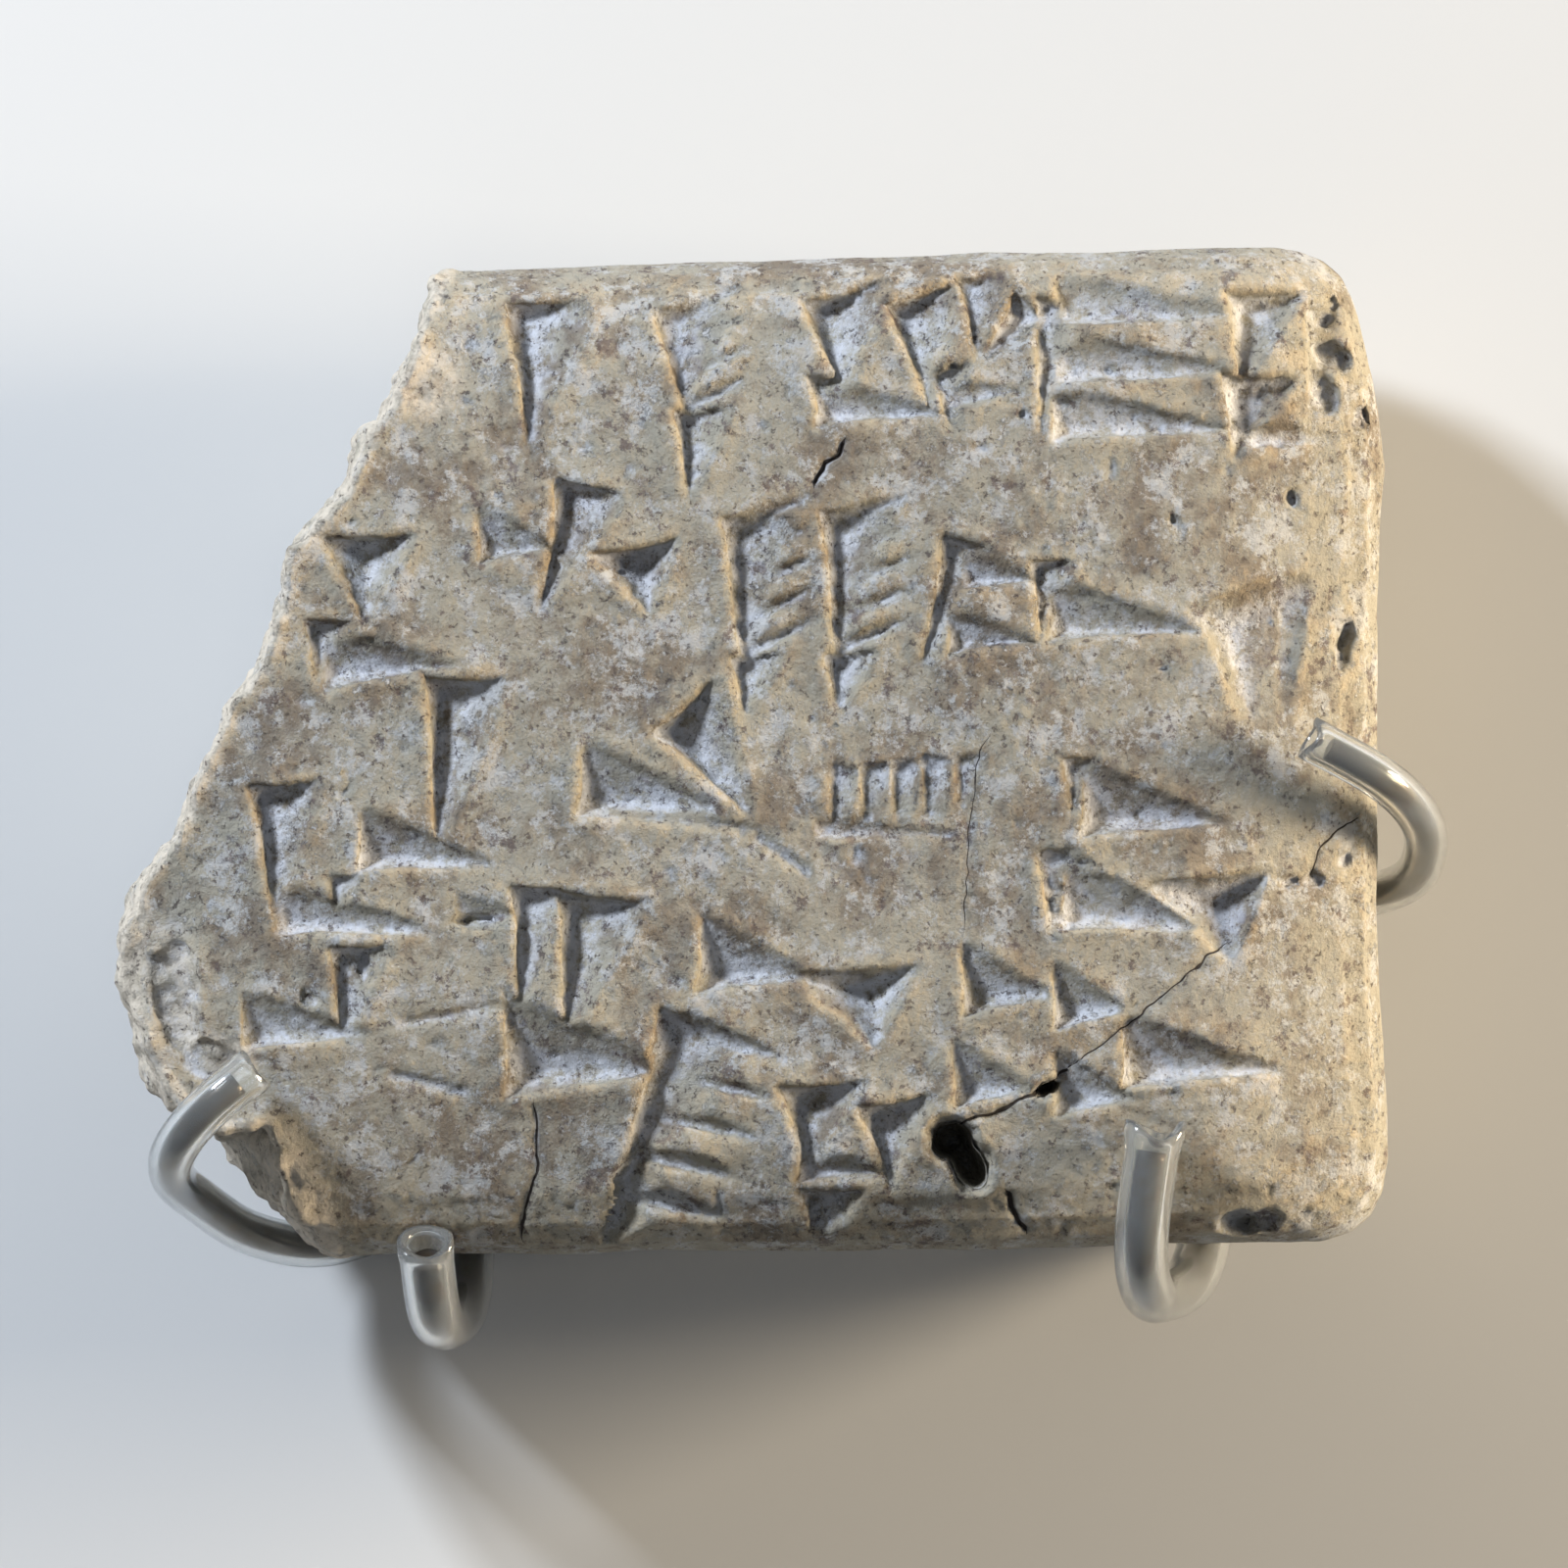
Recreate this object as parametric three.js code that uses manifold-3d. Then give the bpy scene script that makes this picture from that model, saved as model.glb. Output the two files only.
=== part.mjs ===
// Cuneiform tablet: a palm-sized cushion of dried clay, written with the corner of a reed, its left
// side and lower left corner broken away, gripped by four bent wire hooks in clear sleeves.
// Millimetres, +Z up. The tablet lies on its back with its written face up, top edge towards +Y.
// The origin is the middle of the flat spot that it rests on.
import * as THREE from "three";
import { mergeVertices } from "three/addons/utils/BufferGeometryUtils.js";
import Module from "manifold-3d";

// The cushion: a face side and a fuller back, each a superellipse over the outline.
const FACE_RISE = 8.4; // from the widest level up to the face
const BACK_DROP = 9.6; // from the widest level down to the resting spot
const FACE_FLATNESS = 5; // superellipse exponent: the higher, the flatter the face
const BACK_FLATNESS = 3;
const FACE_LEVEL = BACK_DROP + FACE_RISE;
const SPOT_SHARE = 0.46; // the flat spot's size as a share of the outline
const SIDE_STEPS = 8; // rings from the widest level to the middle of the face
const EDGE_STEPS = 9; // facets along a long edge
const CORNER_STEPS = 4; // facets round a corner

// The reed's corner: how deep and how lopsided its print is.
const PRINT_DEPTH = 0.31; // deepest point as a share of the print's width
const DEEPEST_PRINT = 1.3;
const STEEP_SHARE = 0.26; // part of the width on the steep wall's side
const HEAD_SHARE = 0.22; // how far the deepest point lies behind the head, as a share of the width
const NECK = 0.45; // where the head ends and the tail begins, as a share of the length
const NECK_WIDTH = 0.6; // width there as a share of the head's
const NECK_DEPTH = 0.74; // depth there as a share of the deepest
const FIRST_STEP = 0.6; // a ladder's first step lies this many pitches below its spine's head
const STEP_LENGTH = 1.15; // length of a ladder's step as a share of the spine's width
const STEP_PRESS = 1.4; // a step is pressed this much deeper than a single print of its width
const SPINE_PRESS = 0.85;
const SPINE_END = 0.4; // the spine runs past its last step by this share of its width
const OVERSHOOT = 1.35; // the cutting corner is this much larger than its print

// The hooks: a wire pushed into a clear sleeve that keeps the metal off the clay.
const WIRE_SHARE = 0.58; // wire radius as a share of the sleeve's
const BORE_SHARE = 0.8; // bore radius as a share of the sleeve's
const WIRE_RECESS = 0.9; // the wire stops this far inside the sleeve's mouth
const BARE_FOOT = 2; // bare wire below the sleeve, from the end before it is cut off flat
const TUBE_SIDES = 8;
const HOOK_STEP = 1.5; // length of one facet along a hook

const wasm = await Module();
wasm.setup();

// ---- solids ----

function solid(geometry) {
  const bare = new THREE.BufferGeometry();
  const flat = geometry.index ? geometry.toNonIndexed() : geometry;
  bare.setAttribute("position", flat.getAttribute("position"));
  const merged = mergeVertices(bare, 1e-4);
  return new wasm.Manifold(
    new wasm.Mesh({
      numProp: 3,
      vertProperties: merged.attributes.position.array,
      triVerts: new Uint32Array(merged.index.array),
    }),
  );
}

function geometryOf(body) {
  const { vertProperties, triVerts } = body.getMesh();
  const geometry = new THREE.BufferGeometry();
  geometry.setAttribute("position", new THREE.BufferAttribute(vertProperties, 3));
  geometry.setIndex(new THREE.BufferAttribute(triVerts, 1));
  return geometry;
}

function closedGeometry(points, triangles) {
  const geometry = new THREE.BufferGeometry().setFromPoints(points);
  geometry.setIndex(triangles);
  return geometry;
}

function vec(x, y) {
  return new THREE.Vector2(x, y);
}

// ---- the tablet's outline, before it broke ----

const outline = [
  [new THREE.QuadraticBezierCurve(vec(-26, -22.2), vec(4, -22.3), vec(25.8, -21.6)), EDGE_STEPS],
  [new THREE.QuadraticBezierCurve(vec(25.8, -21.6), vec(28.5, -21.3), vec(28.6, -18)), CORNER_STEPS],
  [new THREE.QuadraticBezierCurve(vec(28.6, -18), vec(27.6, 0), vec(28.5, 12.5)), EDGE_STEPS],
  [new THREE.QuadraticBezierCurve(vec(28.5, 12.5), vec(28.1, 16.4), vec(27, 20)), CORNER_STEPS],
  [new THREE.QuadraticBezierCurve(vec(27, 20), vec(26.3, 22.1), vec(23.6, 22.2)), CORNER_STEPS],
  [new THREE.QuadraticBezierCurve(vec(23.6, 22.2), vec(4, 21.7), vec(-24, 20.7)), EDGE_STEPS],
  [new THREE.QuadraticBezierCurve(vec(-24, 20.7), vec(-28.6, 20.4), vec(-29, 16)), CORNER_STEPS],
  [new THREE.QuadraticBezierCurve(vec(-29, 16), vec(-30, 0), vec(-29.4, -18)), EDGE_STEPS],
  [new THREE.QuadraticBezierCurve(vec(-29.4, -18), vec(-29.2, -22.1), vec(-26, -22.2)), CORNER_STEPS],
].flatMap(([curve, steps]) => curve.getPoints(steps).slice(0, -1));

// How far out a point lies: 0 in the middle, 1 on the outline.
function reach(x, y) {
  for (let i = 0; i < outline.length; i++) {
    const a = outline[i];
    const b = outline[(i + 1) % outline.length];
    const span = a.x * b.y - a.y * b.x;
    const alongA = (x * b.y - y * b.x) / span;
    const alongB = (a.x * y - a.y * x) / span;
    if (alongA >= 0 && alongB >= 0) return alongA + alongB;
  }
  return 0;
}

function faceHeight(x, y) {
  const out = Math.min(reach(x, y), 1);
  return BACK_DROP + FACE_RISE * (1 - out ** FACE_FLATNESS) ** (1 / FACE_FLATNESS);
}

// ---- the cushion ----

function cushion() {
  const rings = [];
  const spotDrop = (1 - SPOT_SHARE ** BACK_FLATNESS) ** (1 / BACK_FLATNESS);
  const backScale = BACK_DROP / spotDrop;
  for (let i = SIDE_STEPS; i > -SIDE_STEPS; i--) {
    const turn = (i / SIDE_STEPS) * (Math.PI / 2);
    const power = 2 / (i > 0 ? FACE_FLATNESS : BACK_FLATNESS);
    const share = i === SIDE_STEPS ? 0 : Math.cos(turn) ** power;
    const lift = Math.sin(Math.abs(turn)) ** power;
    if (i < 0 && share < SPOT_SHARE) break;
    rings.push({ share, z: BACK_DROP + (i > 0 ? FACE_RISE * lift : -backScale * lift) });
  }
  rings.push({ share: SPOT_SHARE, z: 0 });
  const count = outline.length;
  const points = [new THREE.Vector3(0, 0, rings[0].z)];
  for (const { share, z } of rings.slice(1))
    for (const p of outline) points.push(new THREE.Vector3(p.x * share, p.y * share, z));
  points.push(new THREE.Vector3(0, 0, 0));
  const triangles = [];
  const levels = rings.length - 1;
  for (let k = 0; k < count; k++) {
    const next = (k + 1) % count;
    triangles.push(0, 1 + k, 1 + next);
    for (let level = 0; level < levels - 1; level++) {
      const upper = 1 + level * count;
      const lower = upper + count;
      triangles.push(upper + k, lower + k, lower + next, upper + k, lower + next, upper + next);
    }
    const last = 1 + (levels - 1) * count;
    triangles.push(points.length - 1, last + next, last + k);
  }
  return solid(closedGeometry(points, triangles));
}

// ---- the break down the left side, the lost lower left corner and the smaller damage ----

// A broken wall wanders in and out as it runs along and down.
function wander(x, y, z) {
  const along = x * 0.6 - y;
  return 0.45 * Math.sin(along * 0.8 + z * 0.4) + 0.3 * Math.sin(along * 1.9 - z * 0.7 + 1);
}

// Clay that broke away: its outline on the face swept down from top to bottom, each point drawn
// outwards by lean, which is given its depth below the face.
function brokenClay(corners, bottom, top, steps, lean) {
  const shape = new THREE.Shape(corners.map(([x, y]) => vec(x, y)));
  const geometry = new THREE.ExtrudeGeometry(shape, { depth: top - bottom, steps, bevelEnabled: false });
  geometry.translate(0, 0, bottom);
  const place = geometry.getAttribute("position");
  for (let i = 0; i < place.count; i++) {
    const x = place.getX(i);
    const y = place.getY(i);
    const depth = Math.max(0, FACE_LEVEL - place.getZ(i));
    const out = lean(depth) + Math.min(1, depth / 5) * wander(x, y, depth);
    place.setXY(i, x - out, y - 0.4 * out);
  }
  return solid(geometry);
}

const LEFT_BREAK = [
  [-11.6, 24], [-12.9, 20.6], [-13.4, 19.3], [-13.8, 17.8], [-14.5, 15.6], [-15.1, 14.4],
  [-15.9, 14.1], [-16.2, 12.6], [-17, 11], [-18.5, 9.7], [-19.4, 8.6], [-19.6, 6.6], [-20.2, 4.4],
  [-21.6, 2.2], [-22.6, 0.4], [-23.6, -1.8], [-24.3, -3.9], [-25.8, -5.7], [-26.3, -7.8],
  [-26.5, -10], [-26, -12.2], [-25, -14], [-24, -15.3], [-22.8, -16.6], [-22.6, -18.1],
  [-21, -19.3], [-19.4, -20.5], [-18, -22], [-16.8, -25], [-45, -25], [-45, 24],
];
const CORNER_BREAK = [
  [-24, -16.1], [-22.4, -16.6], [-20.6, -16.3], [-20, -17.6], [-19.4, -19.2], [-18.4, -20.8],
  [-17.2, -22.6], [-16.8, -26], [-30, -26], [-30, -17],
];

// A scoop or pit: a faceted ball, stretched, turned about Z and sunk into the clay.
function scoop(x, y, z, [rx, ry, rz], turn) {
  const ball = new THREE.SphereGeometry(1, 9, 6);
  ball.scale(rx, ry, rz).rotateZ(turn).translate(x, y, z);
  return solid(ball);
}

function damage() {
  return [
    brokenClay(LEFT_BREAK, -2, 22, 7, (depth) => Math.min(0.5, depth * 0.4) - Math.max(0, depth - 9) * 0.16),
    brokenClay(CORNER_BREAK, 5.5, 22, 4, (depth) => depth * 0.17),
    scoop(-13.7, 15.9, FACE_LEVEL + 0.5, [2.4, 1.8, 1.1], 0.5),
    scoop(-24.6, -10.6, faceHeight(-24.6, -10.6) + 0.5, [1.3, 3.1, 1.2], 0.1),
    scoop(-23.2, -13.5, faceHeight(-23.2, -13.5) + 0.4, [2, 1.1, 0.9], -0.3),
    scoop(21.8, -20.7, faceHeight(21.8, -20.7) + 0.3, [1, 0.7, 1.4], 0.2),
    scoop(26.4, 4.4, faceHeight(26.4, 4.4) + 0.2, [0.5, 1.2, 0.8], -0.2),
    scoop(25.6, 15.5, faceHeight(25.6, 15.5) + 0.2, [0.7, 1, 0.9], 0.3),
    // A deep hole in the written face, and a smaller one up and to the right of it.
    scoop(9.2, -17, FACE_LEVEL - 1.6, [1.1, 0.9, 3.2], 0.3),
    scoop(10, -18.1, FACE_LEVEL - 1.4, [0.8, 1.2, 3], 0.5),
    scoop(13.4, -14.7, FACE_LEVEL - 0.4, [0.55, 0.3, 1.6], 0.4),
  ];
}

// ---- the writing: prints of the reed's corner ----

// One print: the reed's square end makes the head and its edge draws the tail. heading is the way the
// tail points, in degrees. The steep wall lies on the right of the heading.
function print(x, y, heading, length, width, press = 1, steep = STEEP_SHARE) {
  const angle = THREE.MathUtils.degToRad(heading);
  const depth = Math.min(PRINT_DEPTH * width, DEEPEST_PRINT) * press;
  const onFace = (along, across, below) => {
    const px = x + along * Math.cos(angle) - across * Math.sin(angle);
    const py = y + along * Math.sin(angle) + across * Math.cos(angle);
    return new THREE.Vector3(px, py, faceHeight(px, py) - below);
  };
  const deepest = onFace(HEAD_SHARE * width, 0, depth);
  const [headLeft, headRight, neckRight, tail, neckLeft, neck] = [
    onFace(0, (1 - steep) * width, 0),
    onFace(0, -steep * width, 0),
    onFace(NECK * length, -steep * width * NECK_WIDTH, 0),
    onFace(length, 0, 0),
    onFace(NECK * length, (1 - steep) * width * NECK_WIDTH, 0),
    onFace(NECK * length, 0, depth * NECK_DEPTH),
  ].map((p) => p.sub(deepest).multiplyScalar(OVERSHOOT).add(deepest));
  return solid(
    closedGeometry(
      [headLeft, headRight, neckRight, tail, neckLeft, neck, deepest],
      [
        0, 1, 4, 1, 2, 4, 2, 3, 4, 1, 0, 6, 0, 4, 5, 0, 5, 6,
        2, 1, 6, 2, 6, 5, 3, 2, 5, 4, 3, 5,
      ],
    ),
  );
}

const upright = (x, y, length, width, lean = 0) => [print(x, y, lean - 90, length, width)];
const lying = (x, y, length, width, lean = 0) => [print(x, y, lean, length, width)];

// The reed's end rocked over, so that both walls slope.
const gouge = (x, y, length, width, steep, lean = 0) => [print(x, y, lean - 90, length, width, 1, steep)];

// Prints side by side, left to right.
const comb = (x, y, count, pitch, length, width) =>
  Array.from({ length: count }, (_, i) => upright(x + i * pitch, y + 0.15 * i, length, width)).flat();

// A long print, the spine, with short ones pressed into its gentle wall one after the other, so that
// they make steps. along is the way from one step to the next; lean turns the steps' tails up.
function ladder(x, y, count, [alongX, alongY], width, lean) {
  const pitch = Math.hypot(alongX, alongY);
  const heading = THREE.MathUtils.radToDeg(Math.atan2(-alongY, alongX));
  const steps = Array.from({ length: count }, (_, i) => {
    const down = i + FIRST_STEP;
    return print(x + down * alongX, y - down * alongY, lean, width * STEP_LENGTH, pitch, STEP_PRESS);
  });
  return [print(x, y, heading, count * pitch + SPINE_END * width, width, SPINE_PRESS), ...steps];
}

// Prints one under the other, each lying.
const shelf = (x, y, count, pitch, length, width) =>
  Array.from({ length: count }, (_, i) => lying(x - 0.1 * i, y - i * pitch, length, width)).flat();

function writing() {
  const rows = [
    [
      upright(-9.3, 19.5, 7.7, 3.7, 2), ladder(-3, 19.3, 4, [0.2, 1.3], 3.4, 28),
      upright(-2.3, 14.9, 4.4, 2.9, 2), upright(3.5, 19.8, 5.5, 3.9, 12), upright(3.4, 16.4, 3.1, 2.4, 5),
      lying(3.2, 14.5, 5.9, 2.7), upright(6.9, 19.7, 5.4, 3.7, 16), upright(9.9, 20.6, 4.4, 2.5, 6),
      upright(12.6, 19.6, 3.7, 3.1, -38), upright(8.6, 16.6, 3.3, 2.2, 14), lying(9, 14.9, 3.7, 1.8, 12),
      upright(13.3, 19.8, 7.7, 2.5, -2), shelf(13.7, 18.8, 3, 2.45, 8.4, 2.6),
      upright(21.9, 20, 4.8, 3.7, -2), upright(21.7, 16.4, 4, 3.7, -2), upright(24.9, 19.4, 6.6, 1.8),
      lying(22, 13.4, 4.8, 1.5, 2),
    ],
    [
      gouge(-16.3, 9.4, 4.2, 4.5, 0.45, 2), lying(-11.4, 8.6, 4.2, 2.9, 2),
      upright(-7.2, 11.7, 6.6, 3.3, -14), gouge(-4.4, 9, 3.5, 4.5, 0.55, 10),
      ladder(0, 10.2, 5, [0.04, 1.35], 3.6, 27), upright(0.1, 4.2, 2.9, 2.8, 4),
      ladder(4.3, 10.4, 5, [0, 1.35], 3.6, 24), upright(4.2, 4.3, 2.9, 2.8, 4),
      upright(9.4, 9.3, 6.8, 2.6, -14), lying(9.5, 7.3, 4, 2.7), lying(8.9, 4.6, 4.4, 2.8),
      upright(13, 8.3, 4, 2.2), lying(13.2, 5.3, 7.3, 3.3, -2),
      [print(20.9, 6.6, -76, 7.4, 6, 0.6)], upright(23.5, 7, 6.6, 2),
    ],
    [
      upright(-18.3, 5.7, 3.3, 2.5), lying(-18.2, 3.2, 6.6, 3.2, 4), upright(-12.8, 3.3, 7.7, 4, -2),
      lying(-7.1, -2.1, 6.6, 3.7, -5), lying(-7.2, -2.7, 11.6, 1.4, -6), upright(-3.2, 1.4, 5.9, 4, 41),
      comb(4.2, -0.7, 5, 1.36, 3.4, 1.7), lying(3.2, -3.6, 8.4, 1.2, -2), upright(14.4, -0.3, 2.9, 1.9),
      lying(14.7, -3, 6.8, 3.7, -2),
    ],
    [
      upright(-20.5, -1.4, 6.6, 3.5, 4), lying(-16.6, -4.6, 6.2, 3.1, -4), lying(-20.1, -7.5, 7.7, 2.6, -4),
      upright(-17.5, -5.4, 2.9, 1.5), lying(-12.3, -7.3, 3.7, 1.7), upright(-9.3, -5.9, 5.9, 2.9, -2),
      upright(-6.9, -6.1, 6.4, 4.5, -6), ladder(13.3, -4.3, 3, [0.1, 1.2], 2.2, 0),
      lying(13.8, -7.1, 7.5, 3.4, -6), gouge(20.9, -5.4, 4.2, 5.9, 0.6, 6),
    ],
    [
      upright(-17.2, -8.5, 4.8, 2.8), lying(-21.6, -12.4, 6.2, 2.7), lying(-10.3, -14, 7.9, 5),
      lying(-1.9, -9.7, 5.3, 4, -3), gouge(5.7, -9.3, 4, 6.1, 0.62, 4), lying(9.6, -10.8, 4, 3.8, 2),
      lying(13.6, -11.4, 3.3, 3.3, 2), lying(9.2, -14.8, 3.7, 3.4), lying(13.6, -15.2, 3.7, 3.3),
      lying(16.6, -13.9, 7.7, 3.4, -1),
    ],
    [
      ladder(-2.4, -11.4, 5, [-0.6, 1.75], 4.6, -12), gouge(2.9, -14.4, 4.8, 4.2, 0.35, 2),
      gouge(6, -15.2, 4.2, 3.8, 0.3, 8), lying(2.4, -18.4, 4.8, 2.1), upright(3.3, -18.9, 3.3, 3.3),
    ],
  ];
  return rows.flat(2);
}

// ---- the hooks ----

// Each runs from its flat-cut foot out under the tablet's edge, round the edge and onto the face.
const HOOKS = [
  {
    name: "right",
    radius: 0.95,
    route: [
      [25.6, -6.6, -1], [25.6, -6.6, 1.2], [27.4, -6.6, 3], [29.6, -5.9, 6.6], [30.2, -4.5, 11],
      [29.7, -2.9, 15], [28, -1.3, 17.6], [24.8, 0.45, 18.4],
    ],
  },
  {
    name: "lower_left",
    radius: 1,
    route: [
      [-16, -21.4, -1], [-16, -21.4, 1], [-18.6, -22.2, 2.9], [-21.6, -21.6, 5.8],
      [-23.9, -19.8, 10.5], [-24.8, -18.5, 15], [-24.3, -17, 18.4], [-22.8, -15.3, 19.5],
      [-21, -13.9, 19.2],
    ],
  },
  {
    name: "bottom_left",
    radius: 1.2,
    route: [
      [-12.2, -20.6, -1], [-12.2, -20.6, 1.2], [-12.2, -22.6, 3], [-12.3, -24.6, 6.6],
      [-12.8, -25.2, 11], [-13.3, -24.6, 15.4], [-13.6, -21.4, 18.2],
    ],
  },
  {
    name: "bottom_right",
    radius: 1.2,
    route: [
      [21, -20.2, -1], [21, -20.2, 1.2], [20.8, -22, 3], [20, -23.6, 6.4], [18.7, -24, 11],
      [17.8, -23.6, 15.4], [17.4, -21.4, 18.6], [18, -16.5, 19.1],
    ],
  },
];

function tube(curve, from, to, radius, bore) {
  const length = curve.getLength();
  const steps = Math.round((to - from) / HOOK_STEP);
  const stations = Array.from({ length: steps + 1 }, (_, i) =>
    curve.getPointAt(Math.min(1, (from + ((to - from) * i) / steps) / length)),
  );
  const section = new THREE.Shape(ring(radius));
  if (bore) section.holes.push(new THREE.Path(ring(bore)));
  return new THREE.ExtrudeGeometry(section, {
    steps,
    bevelEnabled: false,
    extrudePath: new THREE.CatmullRomCurve3(stations, false, "catmullrom", 0.5),
  });
}

function ring(radius) {
  return Array.from({ length: TUBE_SIDES }, (_, i) => {
    const angle = (i / TUBE_SIDES) * Math.PI * 2;
    return vec(radius * Math.cos(angle), radius * Math.sin(angle));
  });
}

// ---- the part ----

const clay = new THREE.MeshStandardMaterial({ color: 0x9a917f, roughness: 0.92, metalness: 0 });
const steel = new THREE.MeshStandardMaterial({ color: 0x6e665d, roughness: 0.42, metalness: 0.9 });
const clearSleeve = new THREE.MeshStandardMaterial({
  color: 0xe9edf0,
  roughness: 0.15,
  metalness: 0,
  transparent: true,
  opacity: 0.35,
});

const part = new THREE.Group();

function add(name, geometry, material) {
  const mesh = new THREE.Mesh(geometry, material);
  mesh.name = name;
  part.add(mesh);
}

let tablet = cushion();
for (const cut of [...damage(), ...writing()]) tablet = tablet.subtract(cut);
// A crumb that the cuts leave loose is gone.
tablet = tablet.decompose().reduce((a, b) => (a.volume() > b.volume() ? a : b));
add("tablet", geometryOf(tablet), clay);

const ground = solid(new THREE.BoxGeometry(80, 80, 10).translate(0, 0, -5));
for (const { name, radius, route } of HOOKS) {
  const curve = new THREE.CatmullRomCurve3(route.map(([x, y, z]) => new THREE.Vector3(x, y, z)));
  const mouth = curve.getLength();
  const wire = solid(tube(curve, 0, mouth - WIRE_RECESS, radius * WIRE_SHARE)).subtract(ground);
  add(`wire_${name}`, geometryOf(wire), steel);
  add(`sleeve_${name}`, tube(curve, BARE_FOOT, mouth, radius, radius * BORE_SHARE), clearSleeve);
}

export default part;
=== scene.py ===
import math

import bpy
import numpy as np
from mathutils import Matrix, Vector


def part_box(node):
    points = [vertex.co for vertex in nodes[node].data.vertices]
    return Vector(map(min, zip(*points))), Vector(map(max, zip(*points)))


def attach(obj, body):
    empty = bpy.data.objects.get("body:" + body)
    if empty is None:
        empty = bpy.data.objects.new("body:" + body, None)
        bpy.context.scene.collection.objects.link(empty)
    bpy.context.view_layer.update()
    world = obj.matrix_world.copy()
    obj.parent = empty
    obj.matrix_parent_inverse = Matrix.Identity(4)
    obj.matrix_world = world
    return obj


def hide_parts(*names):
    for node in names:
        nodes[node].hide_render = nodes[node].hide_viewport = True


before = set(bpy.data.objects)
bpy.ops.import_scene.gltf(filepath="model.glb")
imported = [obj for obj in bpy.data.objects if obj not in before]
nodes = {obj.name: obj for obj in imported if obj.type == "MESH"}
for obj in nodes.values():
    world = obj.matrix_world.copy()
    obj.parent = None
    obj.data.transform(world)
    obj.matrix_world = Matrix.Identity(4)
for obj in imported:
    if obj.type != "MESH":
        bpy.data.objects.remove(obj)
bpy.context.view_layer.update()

MM = 0.001
scene = bpy.context.scene

# ---- Camera ----
# It looks straight down on the tablet, a long way off, so that its sides hardly show.
CAMERA_HEIGHT = 0.46
FIELD_WIDTH = 0.068  # what the frame takes in at the level of the written face
FIELD_MIDDLE = (1.955 * MM, -1.4875 * MM)
SENSOR_WIDTH = 36.0
NEAREST_SEEN = 0.01
face_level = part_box("tablet")[1][2]
lens_data = bpy.data.cameras.new("camera")
lens_data.sensor_width = SENSOR_WIDTH
lens_data.lens = SENSOR_WIDTH * (CAMERA_HEIGHT - face_level) / FIELD_WIDTH
lens_data.clip_start = NEAREST_SEEN
camera = bpy.data.objects.new("camera", lens_data)
camera.location = (*FIELD_MIDDLE, CAMERA_HEIGHT)
scene.collection.objects.link(camera)
scene.camera = camera

# ---- Light ----
# A warm lamp low on the right, a cool one high on the upper left, and a weak even fill.
FILL_COLOUR = (0.88, 0.93, 1.0, 1.0)
FILL_STRENGTH = 0.2
scene.view_settings.view_transform = "Standard"


def softbox(name, place, size, power, colour):
    lamp_data = bpy.data.lights.new(name, "AREA")
    lamp_data.shape = "SQUARE"
    lamp_data.size = size
    lamp_data.energy = power
    lamp_data.color = colour
    lamp = bpy.data.objects.new(name, lamp_data)
    lamp.location = place
    aim = Vector((0, 0, face_level)) - lamp.location
    lamp.rotation_euler = aim.to_track_quat("-Z", "Y").to_euler()
    scene.collection.objects.link(lamp)


softbox("warm_lamp", place=(0.45, 0.06, 0.085), size=0.14, power=5.2, colour=(1.0, 0.83, 0.60))
softbox("cool_lamp", place=(-0.27, 0.27, 0.235), size=0.07, power=3.0, colour=(0.80, 0.88, 1.0))
world = bpy.data.worlds.new("room")
scene.world = world
world.use_nodes = True
room = world.node_tree.nodes["Background"]
room.inputs["Color"].default_value = FILL_COLOUR
room.inputs["Strength"].default_value = FILL_STRENGTH

# ---- Floor ----
# One wide pale sheet, matt enough to show no lamp in it.
FLOOR_WIDTH = 1.6
FLOOR_COLOUR = (0.62, 0.62, 0.61, 1)
FLOOR_ROUGHNESS = 0.8
bpy.ops.object.select_all(action="DESELECT")
bpy.ops.mesh.primitive_plane_add(size=FLOOR_WIDTH, location=(0, 0, 0))
floor = bpy.context.active_object
floor.name = "floor"
floor_paint = bpy.data.materials.new("pale_floor")
floor_paint.use_nodes = True
shader = floor_paint.node_tree.nodes["Principled BSDF"]
shader.inputs["Base Color"].default_value = FLOOR_COLOUR
shader.inputs["Roughness"].default_value = FLOOR_ROUGHNESS
floor.data.materials.append(floor_paint)

# ---- Tablet ----
# One cushion of fine river clay, patted flat in the hand, written while damp with the corner of a
# cut reed, and dried. Its left side and lower left corner have since broken away, and burial left
# a pale crust in the hollows. The hollows are painted bluish-white, partly for that crust and partly
# as a painted sheen of the cool lamp.
VOXEL = 0.15 * MM
FACES_WANTED = 188000
MERGED_WITHIN = 1e-6
bpy.ops.object.select_all(action="DESELECT")
tablet = nodes["tablet"].copy()
tablet.data = tablet.data.copy()
tablet.name = "clay_tablet"
scene.collection.objects.link(tablet)
tablet.select_set(True)
bpy.context.view_layer.objects.active = tablet
bpy.ops.object.mode_set(mode="EDIT")
bpy.ops.mesh.select_all(action="SELECT")
bpy.ops.mesh.remove_doubles(threshold=MERGED_WITHIN)
bpy.ops.object.mode_set(mode="OBJECT")
tablet.data.materials.clear()
knead = tablet.modifiers.new("knead", "REMESH")
knead.mode = "VOXEL"
knead.voxel_size = VOXEL
bpy.ops.object.modifier_apply(modifier="knead")
clay = tablet.data


def read_points(mesh):
    """The mesh's points in millimetres."""
    flat = np.empty(len(mesh.vertices) * 3, np.float32)
    mesh.vertices.foreach_get("co", flat)
    return flat.reshape(-1, 3) / MM


def read_normals(mesh):
    flat = np.empty(len(mesh.vertices) * 3, np.float32)
    mesh.vertex_normals.foreach_get("vector", flat)
    return flat.reshape(-1, 3).astype(float)


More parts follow.
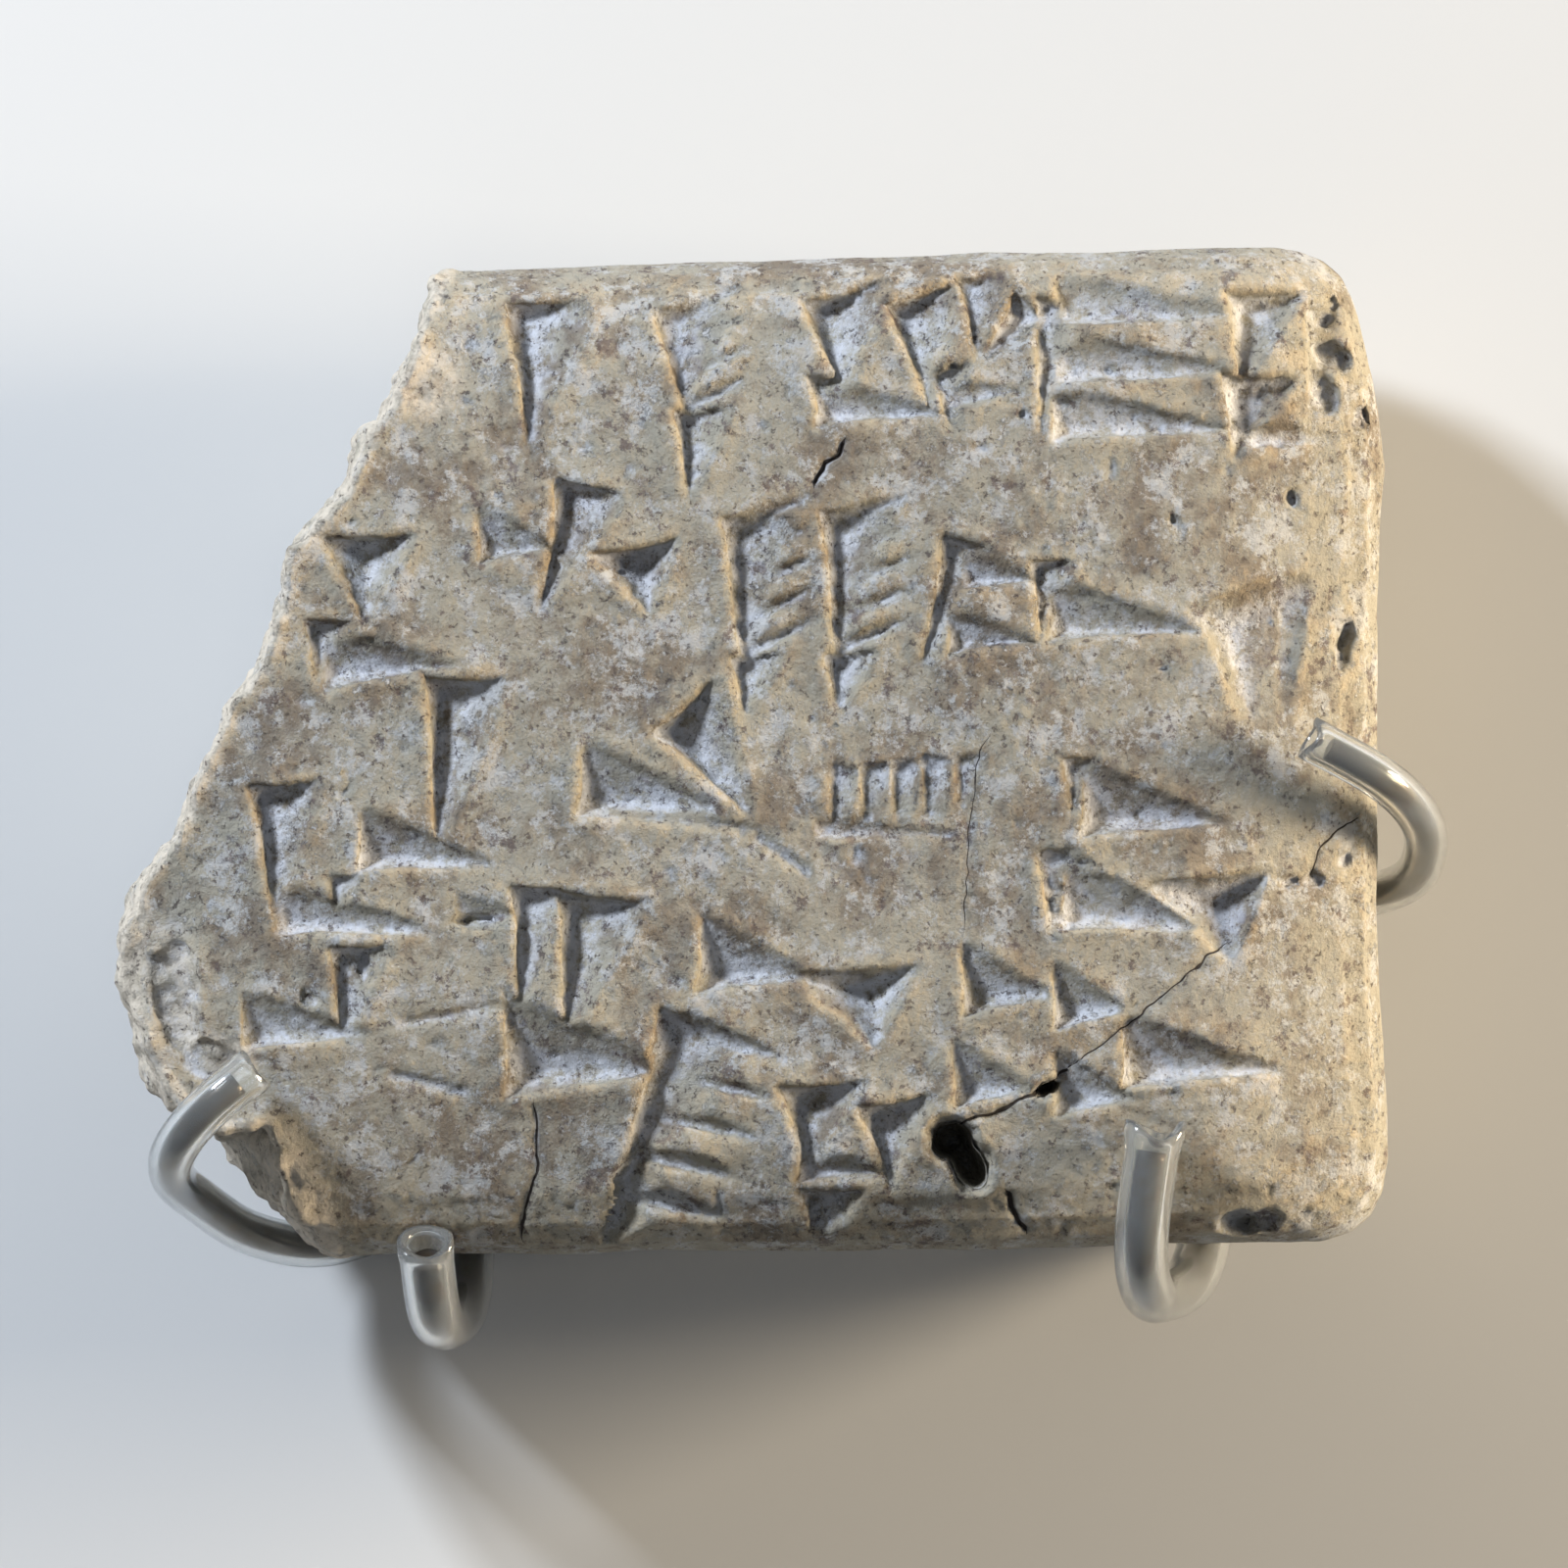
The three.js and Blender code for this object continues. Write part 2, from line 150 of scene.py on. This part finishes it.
def write_points(mesh, points):
    mesh.vertices.foreach_set("co", (points * MM).astype(np.float32).ravel())
    mesh.update()


def neighbours(mesh):
    """Both ends of every edge, and how many edges meet at each point."""
    ends = np.empty(len(mesh.edges) * 2, np.int32)
    mesh.edges.foreach_get("vertices", ends)
    first, second = ends.reshape(-1, 2).T
    return first, second, np.bincount(ends, minlength=len(mesh.vertices))


def smoothed(values, net, passes):
    """Each pass sets every point's value to the mean of its neighbours'."""
    first, second, meeting = net
    columns = [column.copy() for column in np.atleast_2d(values.T)]
    for column in columns:
        for _ in range(passes):
            total = np.bincount(first, column[second], len(meeting))
            total += np.bincount(second, column[first], len(meeting))
            column[:] = total / meeting
    return columns[0] if values.ndim == 1 else np.stack(columns, axis=1)


def ramp(values, low, high):
    """0 below low, 1 above high, smooth between."""
    share = np.clip((values - low) / (high - low), 0, 1)
    return share * share * (3 - 2 * share)


def scrambled(cell, seed):
    """A whole number for each cell of a grid that looks random but is always the same."""
    key = cell @ np.array([73856093, 19349663, 83492791]) + seed * 2654435761
    key = (key ^ (key >> 13)) * 1274126177 & 0x7FFFFFFF
    return (key ^ (key >> 16)) * 2246822519 & 0x7FFFFFFF


def noise(points, size, seed):
    """Smooth random bumps about size across, from -1 to 1: every corner of a grid slopes a random
    way, and the slopes blend across each cell."""
    scaled = points / size + 17.3 * seed
    cell = np.floor(scaled).astype(np.int64)
    part = scaled - cell
    fade = part * part * part * (part * (part * 6 - 15) + 10)
    result = np.zeros(len(points))
    for corner in range(8):
        step = np.array([corner & 1, corner >> 1 & 1, corner >> 2 & 1])
        key = scrambled(cell + step, seed)
        angle = (key & 0xFFFF) / 65536 * 2 * np.pi
        height = (key >> 15 & 0xFFFF) / 32768 - 1
        across = np.sqrt(1 - height * height)
        away = part - step
        slope = away[:, 0] * across * np.cos(angle) + away[:, 1] * across * np.sin(angle)
        slope += away[:, 2] * height
        result += np.prod(np.where(step, fade, 1 - fade), axis=1) * slope
    return np.clip(result * 1.7, -1, 1)


def spot(points, x, y, across, along, turn=0.0):
    """1 in the middle of an oval patch seen from above, 0 from its edge outwards."""
    dx, dy = points[:, 0] - x, points[:, 1] - y
    u = (dx * math.cos(turn) + dy * math.sin(turn)) / across
    v = (dy * math.cos(turn) - dx * math.sin(turn)) / along
    return 1 - ramp(np.hypot(u, v), 0.45, 1.0)


def line_away(points, line):
    """Signed distance from a bent line seen from above (left is positive), and 1 along it fading
    to 0 at its ends."""
    best = np.full(len(points), np.inf)
    signed = np.full(len(points), np.inf)
    along = np.zeros(len(points))
    lengths = [math.dist(a, b) for a, b in zip(line, line[1:])]
    run = 0.0
    for a, b, length in zip(line, line[1:], lengths):
        ux, uy = (b[0] - a[0]) / length, (b[1] - a[1]) / length
        dx, dy = points[:, 0] - a[0], points[:, 1] - a[1]
        t = np.clip(dx * ux + dy * uy, 0, length)
        gap = np.hypot(dx - t * ux, dy - t * uy)
        nearer = gap < best
        best = np.where(nearer, gap, best)
        side = np.where(dy * ux - dx * uy >= 0, 1.0, -1.0)
        signed = np.where(nearer, gap * side, signed)
        along = np.where(nearer, (run + t) / sum(lengths), along)
        run += length
    return signed, ramp(along, 0.0, 0.12) * ramp(1 - along, 0.0, 0.12)


def bumps(points, layers):
    """Layers of noise added up, each given as its height, its size and its seed."""
    return sum(height * noise(points, size, seed) for height, size, seed in layers)


# Sizes here are in millimetres, and places are x and y seen from above. The broken edge runs from
# top to bottom.
BREAK = [
    (-11.6, 24), (-13.4, 19.3), (-14.5, 15.6), (-15.9, 14.1), (-17, 11), (-19.4, 8.6), (-20.2, 4.4),
    (-22.6, 0.4), (-24.3, -3.9), (-25.8, -5.7), (-26.5, -10), (-25, -14), (-22.8, -16.6),
    (-20.6, -16.3), (-19.4, -19.2), (-17.2, -22.6), (-16.8, -26),
]
# Each crack's line and its width.
CRACKS = [
    ([(27.2, -2.9), (26, -3.6), (25.2, -4.5), (24.8, -5.6)], 0.04),
    ([(21.4, -8.2), (19.6, -9.6), (18, -11), (16.8, -12), (15.4, -13.1), (14.2, -13.9)], 0.035),
    ([(14.8, -13.4), (13.9, -14.2), (12.6, -15), (11, -15.8), (9.2, -16.4)], 0.07),
    ([(-8.9, -15), (-8.75, -16.6), (-8.8, -18), (-9.1, -19.2), (-9.4, -20.6), (-9.5, -21.6)], 0.055),
    ([(11.6, -19.1), (12, -20.2), (12.5, -21.1)], 0.13),
    ([(4.7, 13.6), (4.3, 12.8), (3.7, 12.5), (3.3, 11.3)], 0.1),
    ([(11, 1), (10.3, -0.6), (10.1, -2.4), (9.9, -5.2), (9.7, -8.2)], 0.02),
]
CRACK_WOBBLE = 0.16
CRACK_BOTTOM = (6, 11)  # between these heights a crack dies out down the side
CRACK_MOUTH = 0.45  # how deep the widest crack's mouth is
WIDEST_CRACK = 0.2

# Patches: the middle's x and y, half the width and half the length, and the turn.
FLAKES = [(-24.7, -10.2, 1.9, 3.6, 0.1), (-22.6, -13.2, 2.6, 1.3, -0.3)]
PALE_CHIP = (-13.7, 15.9, 2.2, 2.2, 0.4)
PALE_CORNER = (-18.9, -19.2, 1.2, 4.2, 0.4)

# Holes and pits are patches with a depth at the end.
HOLES = [
    (9.3, -17, 1.5, 1.2, -0.5, 1.0), (10, -18, 1.1, 1.6, 0.4, 1.0), (13.3, -14.7, 0.75, 0.3, 0.45, 1.1),
    (25.8, 17.2, 1.1, 0.75, -0.4, 0.8), (27.1, 14.5, 0.5, 0.65, 0.2, 0.6), (25.9, 19.5, 0.4, 0.4, 0, 0.4),
    (25.5, 18.7, 0.45, 0.3, 0.4, 0.35), (24, 10.9, 0.4, 0.5, 0, 0.4), (26.4, -4.8, 0.5, 0.35, 0.5, 0.45),
    (25, -5.7, 0.6, 0.5, 0.2, 0.4), (23.9, -5.8, 0.6, 0.25, 0.3, 0.3), (18.9, 10, 0.3, 0.3, 0, 0.25),
    (18.3, 3.4, 0.2, 0.15, 0, 0.3), (26.3, 5.1, 0.6, 1, -0.3, 0.5), (-11.4, -7.5, 1.4, 0.3, 0, 0.4),
    (-16.3, -9.5, 0.25, 0.8, 0, 0.4), (-5.1, 7.7, 0.3, 0.2, 0, 0.3), (12.4, 14.6, 0.25, 0.25, 0, 0.25),
    (9.3, 16.7, 0.25, 0.2, 0, 0.3), (-18.6, -10.8, 0.35, 0.6, 0.3, 0.3), (22.7, -20.6, 1.1, 0.6, 0.2, 0.7),
]
HOLE_WOBBLE = 0.22

# Ruled and stray drag lines.
DRAG_LINES = [
    [(-6.5, 19.5), (-1, 20), (8.6, 20.3)], [(12.8, 20.9), (18, 21.2), (23.6, 21)],
    [(0.6, -3.6), (3.2, -5.5)], [(-15, -12), (-10, -11)], [(-15.4, -14), (-11.5, -15)],
]
DRAG_DEPTH = 0.2

ROUNDING_PASSES = 90
LIP_PASSES = 40
TILT_PASSES = 25
TILT_PASSES_THINNED = 14
CRISP = (0.03, 0.1)  # clay that stands off the rounded shape by this much begins, and is, crisp
FACE_TILT = (0.35, 0.8)  # the surface looks up by this share where the face begins, and is full
LIP_HEIGHT = 0.12
SWELLING_KEPT = 0.5
MOST_SWELLING = 0.4
BREAK_LUMPS = [(0.26, 1.5, 5), (0.14, 0.6, 6)]
PATTED_WAVES = [(0.16, 8, 1), (0.07, 3, 2)]
SKIN_HEIGHT = 0.02
SKIN_HEIGHT_IN_PATCHES = 0.05
GRAIN_HEIGHT = 0.04
PIT_DEPTH = 0.1
STREAK_HEIGHT = 0.05
STREAK_WIDTH = 0.42
STREAK_PULL = 0.16  # a streak's width as a share of its length
FALL_RIGHT = 0.9
FALL_LOWER_LEFT = 0.8
FALL_ROOT = (5, 17)  # the falling away begins at the first height and is full at the second


def nearest_crack(points):
    """Distance from the nearest crack's line, and the crack's width there."""
    wobble = CRACK_WOBBLE * np.column_stack([noise(points, 0.7, seed) for seed in (13, 14, 15)])
    away = np.full(len(points), np.inf)
    width = np.zeros(len(points))
    for line, wide in CRACKS:
        one_away, run = line_away(points + wobble, line)
        nearer = np.abs(one_away) < np.abs(away)
        away = np.where(nearer, one_away, away)
        width = np.where(nearer, wide * run, width)
    return away, width * ramp(points[:, 2], *CRACK_BOTTOM)


def broken(points):
    """1 on the broken sides and on the lost corner."""
    inward, _ = line_away(points, BREAK)
    scar = 1 - ramp(inward + 0.25 * noise(points, 1.3, 21), 0.05, 0.55)
    return scar * ramp(points[:, 2] + 1.5 * noise(points, 2.5, 22), 1.0, 3.5)


def flaked_off(points):
    """1 where the face has flaked beside the broken edge."""
    return np.max([spot(points, *flake) for flake in FLAKES], axis=0)


net = neighbours(clay)
points = read_points(clay)

# Hands round the facets off; only the prints, chips and breaks stay crisp.
flowing = smoothed(points, net, ROUNDING_PASSES)
carved = ramp(smoothed(np.linalg.norm(points - flowing, axis=1), net, 10), *CRISP)
points = flowing + (smoothed(points, net, 1) - flowing) * carved[:, None]
write_points(clay, points)
normals = read_normals(clay)
swelling = np.einsum("ij,ij->i", points - flowing, normals)
face = ramp(smoothed(normals[:, 2], net, TILT_PASSES), *FACE_TILT)

# The reed pushes clay up into a lip beside each print.
around = smoothed(points, net, LIP_PASSES)
proud = np.einsum("ij,ij->i", points - around, normals)
lift = LIP_HEIGHT * ramp(proud, 0.02, 0.22) * face
lift += SWELLING_KEPT * np.clip(swelling, 0, MOST_SWELLING) * face
hollow = ramp(-proud, 0.02, 0.3) * face

# The broken edge, the flaked patch beside it and the lost corner are rough.
rough = np.maximum(broken(points), flaked_off(points) * face)
lift += rough * bumps(points, BREAK_LUMPS)

# Slow waves from patting, a leathery dried skin, crust and small pits.
patches = ramp(noise(points, 6, 7), -0.25, 0.4)
lift += bumps(points, PATTED_WAVES)
skin = 1 - np.abs(noise(points, 0.7, 3))
skin_height = SKIN_HEIGHT + SKIN_HEIGHT_IN_PATCHES * patches
lift += skin_height * (skin * skin - 0.5) * (0.35 + 0.65 * face)
lift += GRAIN_HEIGHT * noise(points, 0.38, 4) * (0.4 + 0.6 * face)
lift -= PIT_DEPTH * ramp(noise(points, 1.0, 8), 0.6, 0.8) * face

# Streaks left by the reed's grain on the prints' walls.
stretch_down = points * np.array([1, STREAK_PULL, 1])
stretch_along = points * np.array([STREAK_PULL, 1, 1])
turned = np.abs(normals[:, 0]) > np.abs(normals[:, 1])
streaks_down = noise(stretch_down, STREAK_WIDTH, 9)
streaks_along = noise(stretch_along, STREAK_WIDTH, 10)
lift += STREAK_HEIGHT * np.where(turned, streaks_down, streaks_along) * hollow

points = points + normals * lift[:, None]

# The face falls away a little to the right, and to the lower left.
fall = FALL_RIGHT * ramp(points[:, 0], 20, 27.5)
fall += FALL_LOWER_LEFT * ramp(-points[:, 1], 9, 22) * ramp(-points[:, 0], 0, 14)
points[:, 2] -= fall * ramp(points[:, 2], *FALL_ROOT)

# Holes, pits, drag lines and the cracks' mouths go straight down, and nothing goes below the ground.
sink = np.zeros(len(points))
shaken = points + HOLE_WOBBLE * noise(points, 0.7, 12)[:, None]
for *patch, depth in HOLES:
    sink += depth * spot(shaken, *patch)
for line in DRAG_LINES:
    away, run = line_away(points, line)
    sink += DRAG_DEPTH * run * (1 - ramp(np.abs(away), 0.08, 0.35))
away, width = nearest_crack(points)
sink += CRACK_MOUTH * np.clip(width / WIDEST_CRACK, 0, 1) * (1 - ramp(np.abs(away), 0.05, 0.25))
points[:, 2] -= sink * ramp(normals[:, 2], 0.0, 0.4)
points[:, 2] = np.maximum(points[:, 2], 0)
write_points(clay, points)

clay.calc_loop_triangles()
thin_out = tablet.modifiers.new("thin_out", "DECIMATE")
thin_out.ratio = FACES_WANTED / len(clay.loop_triangles)
bpy.ops.object.modifier_apply(modifier="thin_out")
bpy.ops.object.shade_smooth()

# What the colouring needs is worked out again on the thinned mesh.
net = neighbours(clay)
points = read_points(clay)
normals = read_normals(clay)
face = ramp(smoothed(normals[:, 2], net, TILT_PASSES_THINNED), *FACE_TILT)
around = smoothed(points, net, LIP_PASSES)
proud = np.einsum("ij,ij->i", points - around, normals)
pale = np.maximum(broken(points), 0.8 * flaked_off(points))
pale = np.maximum(pale, 0.9 * spot(points, *PALE_CHIP))
pale = np.maximum(pale, spot(points, *PALE_CORNER))
away, width = nearest_crack(points)
shades = {
    "hollow": ramp(-proud, 0.0, 0.2) * face,
    "ridge": ramp(proud, 0.03, 0.2) * face,
    "pale": pale,
    "crack_away": np.clip(away, -3, 3),
    "crack_width": width,
}
for name, values in shades.items():
    layer = clay.attributes.new(name, "FLOAT", "POINT")
    layer.data.foreach_set("value", values.astype(np.float32))

river_clay = bpy.data.materials.new("river_clay")
river_clay.use_nodes = True
tree = river_clay.node_tree
shader = tree.nodes["Principled BSDF"]
place = tree.nodes.new("ShaderNodeTexCoord").outputs["Object"]


def socket(value, slot):
    """Joins a node's output to a slot, or sets the slot to a plain value."""
    if isinstance(value, bpy.types.NodeSocket):
        tree.links.new(value, slot)
    else:
        slot.default_value = value


def mottle(size, detail=5.0, roughness=0.6, seed=0.0):
    """Cloudy noise about size millimetres across."""
    clouds = tree.nodes.new("ShaderNodeTexNoise")
    clouds.noise_dimensions = "4D"
    tree.links.new(place, clouds.inputs["Vector"])
    clouds.inputs["W"].default_value = seed
    clouds.inputs["Scale"].default_value = 1 / (size * MM)
    clouds.inputs["Detail"].default_value = detail
    clouds.inputs["Roughness"].default_value = roughness
    return clouds.outputs["Fac"]


def between(value, low, high, to_low=0.0, to_high=1.0):
    """to_low where the value is under low, to_high where it is over high, smooth between."""
    spread = tree.nodes.new("ShaderNodeMapRange")
    spread.interpolation_type = "SMOOTHSTEP"
    socket(value, spread.inputs["Value"])
    socket(low, spread.inputs["From Min"])
    socket(high, spread.inputs["From Max"])
    spread.inputs["To Min"].default_value = to_low
    spread.inputs["To Max"].default_value = to_high
    return spread.outputs["Result"]


def worked_out(kind, a, b):
    """Two sockets or plain numbers added, multiplied and so on."""
    reckon = tree.nodes.new("ShaderNodeMath")
    reckon.operation = kind
    socket(a, reckon.inputs[0])
    socket(b, reckon.inputs[1])
    return reckon.outputs[0]


def painted(under, over, share):
    """One colour laid over another where share is 1."""
    blend = tree.nodes.new("ShaderNodeMix")
    blend.data_type = "RGBA"
    socket(share, blend.inputs[0])
    socket(under, blend.inputs[6])
    socket(over, blend.inputs[7])
    return blend.outputs[2]


def layer_value(name):
    """What the clay's own points say, such as how hollow they are."""
    layer = tree.nodes.new("ShaderNodeAttribute")
    layer.attribute_name = name
    return layer.outputs["Fac"]


OLIVE = (0.345, 0.320, 0.258, 1)
BROWN = (0.205, 0.170, 0.130, 1)
PURPLE = (0.120, 0.092, 0.086, 1)
GREY = (0.435, 0.432, 0.420, 1)
OCHRE = (0.560, 0.430, 0.260, 1)
DUST_AND_SHEEN = (0.630, 0.655, 0.720, 1)
CREAM = (0.600, 0.530, 0.430, 1)
CRUST = (0.600, 0.600, 0.600, 1)
CRACK_SHADE = (0.045, 0.036, 0.030, 1)
RUBBED_AND_LIT_SHARE = 0.35
DUST_AND_SHEEN_SHARE = 0.7
CRUST_SHARE = 0.65
PORE_SHADE_SHARE = 0.75
GRIT_HEIGHT = 0.26 * MM
CRUST_HEIGHT = 0.08 * MM
PORE_DEPTH = 0.07 * MM
CRACK_DEPTH = 0.15 * MM
BUMP_STRENGTH = 0.9
CLAY_SPECULAR = 0.3

# Where each colour shows: clouds of one size, cut off between a low and a high level.
brown_clouds = between(mottle(4.5, 7, 0.75, seed=1), 0.46, 0.60)
grey_clouds = between(mottle(2.0, 8, 0.8, seed=2), 0.50, 0.58)
purple_stains = between(mottle(1.5, 8, 0.8, seed=3), 0.55, 0.61, 0, 0.85)
# Ochre on the ridges: partly rubbed wear, partly a painted warm highlight where the low warm lamp catches
# the rims.
rubbed_and_lit = between(mottle(0.9, seed=4), 0.4, 0.62)
rubbed_and_lit = worked_out("MULTIPLY", layer_value("ridge"), rubbed_and_lit)
# Bluish-white in the hollows: partly pale burial crust, partly a painted sheen of the cool lamp on the
# prints' walls.
dust_and_sheen = between(mottle(1.0, 8, 0.8, seed=5), 0.40, 0.54)
dust_and_sheen = worked_out("MULTIPLY", layer_value("hollow"), dust_and_sheen)
crusted_areas = between(mottle(5, 3, seed=7), 0.42, 0.6, 0.35, 1)
specks = between(mottle(0.6, 7, 0.8, seed=6), 0.555, 0.61)
specks = worked_out("MULTIPLY", specks, crusted_areas)
flaking = between(mottle(1.0, 6, 0.7, seed=8), 0.3, 0.6)
flaking = worked_out("MULTIPLY", layer_value("pale"), flaking)
# Small pores: sunk in the bump below, and painted dark purple as painted shade inside the pits.
pores = between(mottle(0.4, 6, 0.75, seed=9), 0.575, 0.63)

# A crack is painted nearly black within its width as painted shade, and the painted shade fades at its
# rims.
gap = worked_out("ABSOLUTE", layer_value("crack_away"), 0)
wide = layer_value("crack_width")
outer_rim = worked_out("MULTIPLY", wide, 1.3)
inner_rim = worked_out("MULTIPLY", wide, 0.6)
cracked = between(gap, outer_rim, inner_rim)

# Painted in turn. The ochre on ridges is partly a painted warm highlight, the bluish-white in hollows is
# partly a painted cool sheen, and the dark in pores and cracks is painted shade.
colour = OLIVE
for over, share in [
    (BROWN, brown_clouds),
    (GREY, grey_clouds),
    (PURPLE, purple_stains),
    (OCHRE, worked_out("MULTIPLY", rubbed_and_lit, RUBBED_AND_LIT_SHARE)),
    (DUST_AND_SHEEN, worked_out("MULTIPLY", dust_and_sheen, DUST_AND_SHEEN_SHARE)),
    (CRUST, worked_out("MULTIPLY", specks, CRUST_SHARE)),
    (CREAM, flaking),
    (PURPLE, worked_out("MULTIPLY", pores, PORE_SHADE_SHARE)),
    (CRACK_SHADE, cracked),
]:
    colour = painted(colour, over, share)
socket(colour, shader.inputs["Base Color"])
socket(between(mottle(0.8, seed=10), 0.3, 0.7, 0.82, 0.97), shader.inputs["Roughness"])
shader.inputs["Specular IOR Level"].default_value = CLAY_SPECULAR

grit = worked_out("MULTIPLY", mottle(0.5, 6, 0.72, seed=11), GRIT_HEIGHT)
grit = worked_out("ADD", grit, worked_out("MULTIPLY", specks, CRUST_HEIGHT))
grit = worked_out("SUBTRACT", grit, worked_out("MULTIPLY", pores, PORE_DEPTH))
grit = worked_out("SUBTRACT", grit, worked_out("MULTIPLY", cracked, CRACK_DEPTH))
bump = tree.nodes.new("ShaderNodeBump")
bump.inputs["Strength"].default_value = BUMP_STRENGTH
bump.inputs["Distance"].default_value = 1.0
socket(grit, bump.inputs["Height"])
socket(bump.outputs["Normal"], shader.inputs["Normal"])
clay.materials.append(river_clay)
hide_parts("tablet")
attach(tablet, "root")

# ---- Wires ----
# Four lengths of drawn steel rod, bent cold to grip the tablet's edges, dull grey and browned in
# patches where hands have been.
STEEL_GREY = (0.11, 0.108, 0.105, 1)
HANDLED_BROWN = (0.085, 0.06, 0.04, 1)
PATCH_SIZE = 1.4 * MM
PATCH_DETAIL = 6.0
PATCH_EDGES = (0.42, 0.64)
STEEL_METALLIC = 0.9
STEEL_ROUGHNESS = 0.36
WIRE_SWELL = 0.06 * MM
SHARP_CUT = math.radians(62)
SMOOTH_BEND = math.radians(50)
worn_steel = bpy.data.materials.new("worn_steel")
worn_steel.use_nodes = True
tree = worn_steel.node_tree
shader = tree.nodes["Principled BSDF"]
tarnish = tree.nodes.new("ShaderNodeTexNoise")
tarnish.inputs["Scale"].default_value = 1 / PATCH_SIZE
tarnish.inputs["Detail"].default_value = PATCH_DETAIL
tree.links.new(tree.nodes.new("ShaderNodeTexCoord").outputs["Object"], tarnish.inputs["Vector"])
steel_shades = tree.nodes.new("ShaderNodeValToRGB")
for stop, edge, paint in zip(steel_shades.color_ramp.elements, PATCH_EDGES, [STEEL_GREY, HANDLED_BROWN]):
    stop.position = edge
    stop.color = paint
tree.links.new(tarnish.outputs["Fac"], steel_shades.inputs["Fac"])
tree.links.new(steel_shades.outputs["Color"], shader.inputs["Base Color"])
shader.inputs["Metallic"].default_value = STEEL_METALLIC
shader.inputs["Roughness"].default_value = STEEL_ROUGHNESS


def rounded_copy(node, name, swell):
    """A smooth round tube on the faceted one's line. Its ends stay sharp, swell makes up for what
    the smoothing takes off, and its foot stays on the ground."""
    bpy.ops.object.select_all(action="DESELECT")
    piece = nodes[node].copy()
    piece.data = piece.data.copy()
    piece.name = name
    scene.collection.objects.link(piece)
    piece.select_set(True)
    bpy.context.view_layer.objects.active = piece
    piece.data.materials.clear()
    bpy.ops.object.mode_set(mode="EDIT")
    bpy.ops.mesh.select_mode(type="EDGE")
    bpy.ops.mesh.select_all(action="SELECT")
    bpy.ops.mesh.remove_doubles(threshold=MERGED_WITHIN)
    bpy.ops.mesh.tris_convert_to_quads(face_threshold=0.6, shape_threshold=2.5)
    bpy.ops.mesh.select_all(action="DESELECT")
    bpy.ops.mesh.edges_select_sharp(sharpness=SHARP_CUT)
    bpy.ops.transform.edge_crease(value=1.0)
    bpy.ops.object.mode_set(mode="OBJECT")
    smoother = piece.modifiers.new("round", "SUBSURF")
    smoother.levels = 2
    bpy.ops.object.modifier_apply(modifier="round")
    bpy.ops.object.mode_set(mode="EDIT")
    bpy.ops.mesh.select_all(action="SELECT")
    bpy.ops.transform.shrink_fatten(value=swell)
    bpy.ops.object.mode_set(mode="OBJECT")
    bpy.ops.object.shade_smooth_by_angle(angle=SMOOTH_BEND)
    tube = read_points(piece.data)
    tube[:, 2] = np.maximum(tube[:, 2], 0)
    write_points(piece.data, tube)
    return piece


HOOKS = ["right", "lower_left", "bottom_left", "bottom_right"]
for hook in HOOKS:
    wire = rounded_copy(f"wire_{hook}", f"steel_wire_{hook}", WIRE_SWELL)
    wire.data.materials.append(worn_steel)
    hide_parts(f"wire_{hook}")
    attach(wire, "root")

# ---- Sleeves ----
# Clear soft tubing cut off by eye and pushed over each wire, so that no metal touches the clay.
# The cut mouths are ragged, and the two at the bottom have been pulled out of round.
TUBING_TINT = (0.90, 0.92, 0.91, 1)
TUBING_ROUGHNESS = 0.09
TUBING_IOR = 1.46
TUBING_CLEARNESS = 0.93
SLEEVE_SWELL = 0.1 * MM
clear_tubing = bpy.data.materials.new("clear_tubing")
clear_tubing.use_nodes = True
shader = clear_tubing.node_tree.nodes["Principled BSDF"]
shader.inputs["Base Color"].default_value = TUBING_TINT
shader.inputs["Roughness"].default_value = TUBING_ROUGHNESS
shader.inputs["IOR"].default_value = TUBING_IOR
shader.inputs["Transmission Weight"].default_value = TUBING_CLEARNESS

# In millimetres: the mouth's middle, which way it looks, how far the cut wanders, and how far the
# rim spreads.
MOUTHS = {
    "right": ((24.8, 0.45, 18.4), (-3.2, 1.75, 0.8), 0.22, 0.03),
    "lower_left": ((-21, -13.9, 19.2), (1.8, 1.4, -0.3), 0.15, 0.05),
    "bottom_left": ((-13.6, -21.4, 18.2), (-0.3, 3.2, 2.8), 0.2, 0.08),
    "bottom_right": ((18, -16.5, 19.1), (0.6, 4.9, 0.5), 0.6, 0.2),
}
MOUTH_LENGTH = 1.1
for hook in HOOKS:
    sleeve = rounded_copy(f"sleeve_{hook}", f"clear_sleeve_{hook}", SLEEVE_SWELL)
    middle, facing, wander, spread = MOUTHS[hook]
    facing = np.array(facing) / np.linalg.norm(facing)
    rim = read_points(sleeve.data)
    from_middle = rim - np.array(middle)
    forward = from_middle @ facing
    outward = from_middle - forward[:, None] * facing
    across = np.maximum(np.linalg.norm(outward, axis=1), 1e-6)
    near = ramp(forward, -MOUTH_LENGTH, -0.05) * (across < 2)
    side = np.cross(facing, (0, 0, 1))
    side /= np.linalg.norm(side)
    turn = np.arctan2(outward @ np.cross(side, facing), outward @ side)
    cut = np.abs(np.cos(turn)) ** 2 - 0.4 + 0.25 * np.sin(3 * turn + 1)
    rim += facing * (near * cut * wander)[:, None]
    rim += outward / across[:, None] * (near * spread)[:, None]
    write_points(sleeve.data, rim)
    sleeve.data.materials.append(clear_tubing)
    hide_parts(f"sleeve_{hook}")
    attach(sleeve, "root")
